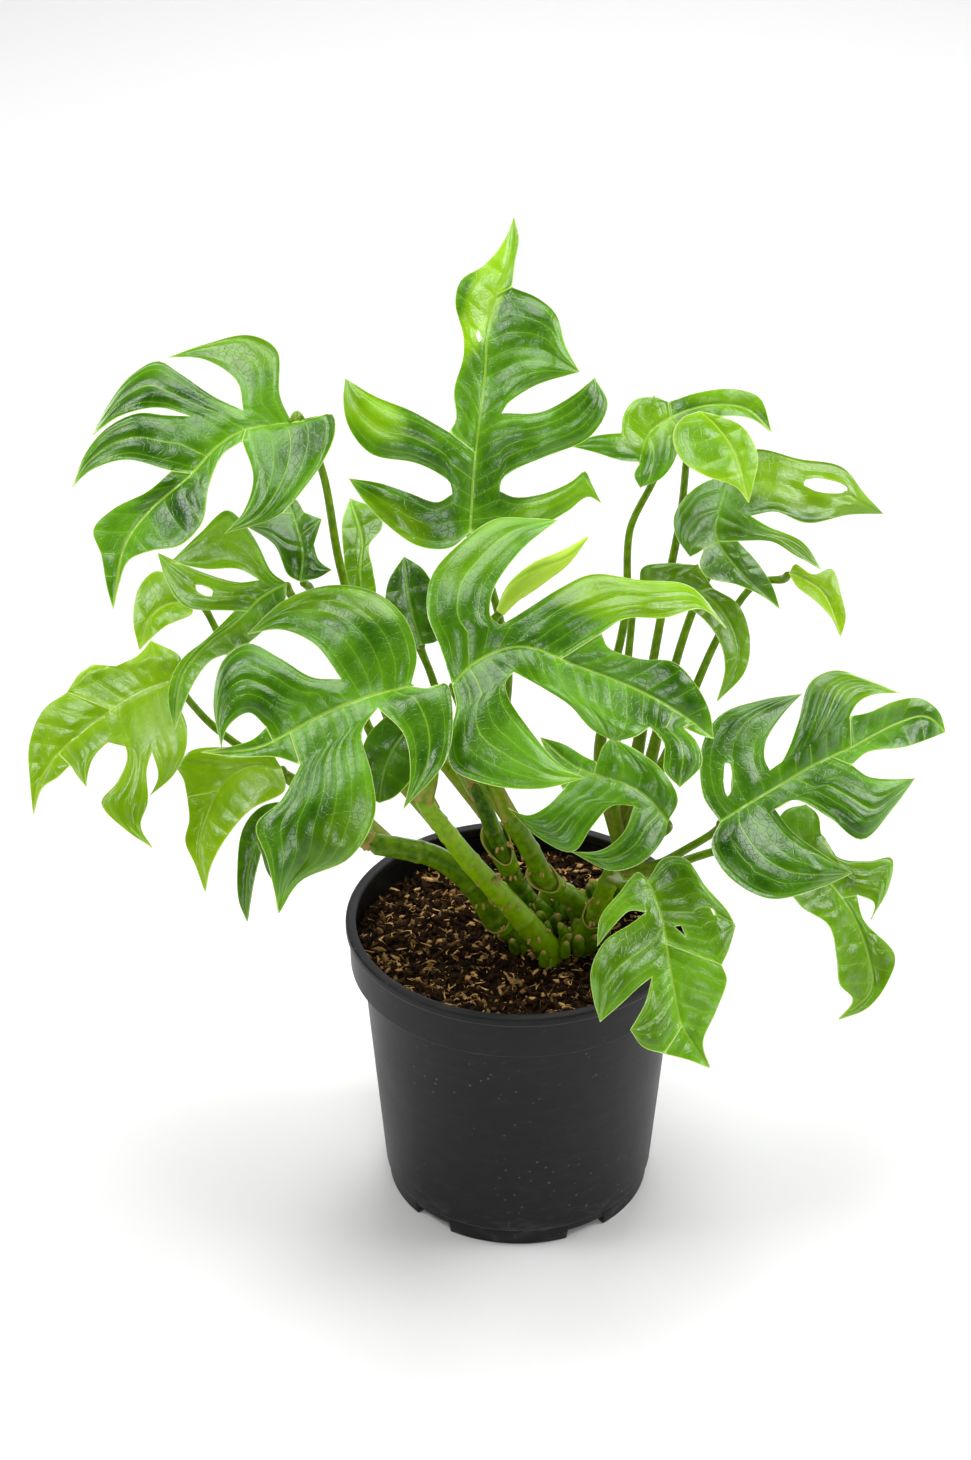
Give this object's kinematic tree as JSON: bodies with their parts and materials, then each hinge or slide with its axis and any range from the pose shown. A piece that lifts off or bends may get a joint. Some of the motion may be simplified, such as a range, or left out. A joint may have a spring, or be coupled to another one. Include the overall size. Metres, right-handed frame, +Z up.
{
  "type": "mini monstera house plant in a nursery pot",
  "caption": "Potted climbing aroid with deeply cut, glossy green leaves on arching stalks, rooted in dark bark mix in a round black nursery pot; it stands on its foot.",
  "frame": {"origin": "on the surface the pot stands on, at the middle of the whole plant's bounding box; the pot's own axis stands at x 0.0114, y 0.0047", "axes": "+Z up along the pot's axis, -Y towards the viewer of the picture, +X to the viewer's right"},
  "size_m": [0.3888, 0.2215, 0.4166],
  "materials": {
    "pot_plastic": "satin black moulded plastic, finely scuffed",
    "potting_mix": "dark shredded bark and coir, damp",
    "stalk_green": "smooth green stalk and cane with pale streaks and tan leaf scars",
    "leaf_green": "glossy mid green leaf with pale veins and a thin yellow-green margin",
    "leaf_lime": "glossy young yellow-green leaf",
    "leaf_dark": "glossy dark green leaf",
    "new_leaf": "smooth yellow-green rolled new leaf"
  },
  "bodies": {
    "root": {"pot": "pot_plastic", "soil": "potting_mix", "leafy_stem_left": "stalk_green", "leafy_stem_front": "stalk_green", "leafy_stem_middle": "stalk_green", "leafy_stem_centre": "stalk_green", "leafy_stem_right": "stalk_green", "leafy_stem_tall": "stalk_green", "leaf_upper_left": "leaf_green", "leaf_top_centre": "leaf_green", "leaf_back_right": "leaf_green", "leaf_top_right": "leaf_lime", "leaf_right_upper": "leaf_dark", "leaf_right_small": "leaf_lime", "leaf_back_arching": "leaf_dark", "leaf_mid_left": "leaf_green", "leaf_left_behind": "leaf_dark", "leaf_left_low_behind": "leaf_lime", "leaf_far_left": "leaf_lime", "leaf_low_left": "leaf_lime", "leaf_low_left_behind": "leaf_dark", "leaf_front_left": "leaf_green", "leaf_low_inner_left": "leaf_dark", "leaf_centre": "leaf_green", "leaf_centre_right_low": "leaf_green", "leaf_right": "leaf_green", "leaf_right_hanging": "leaf_green", "leaf_front_low": "leaf_green", "leaf_inner_left": "leaf_green", "leaf_inner_dark": "leaf_dark", "leaf_furled": "new_leaf"}
  },
  "joints": []
}
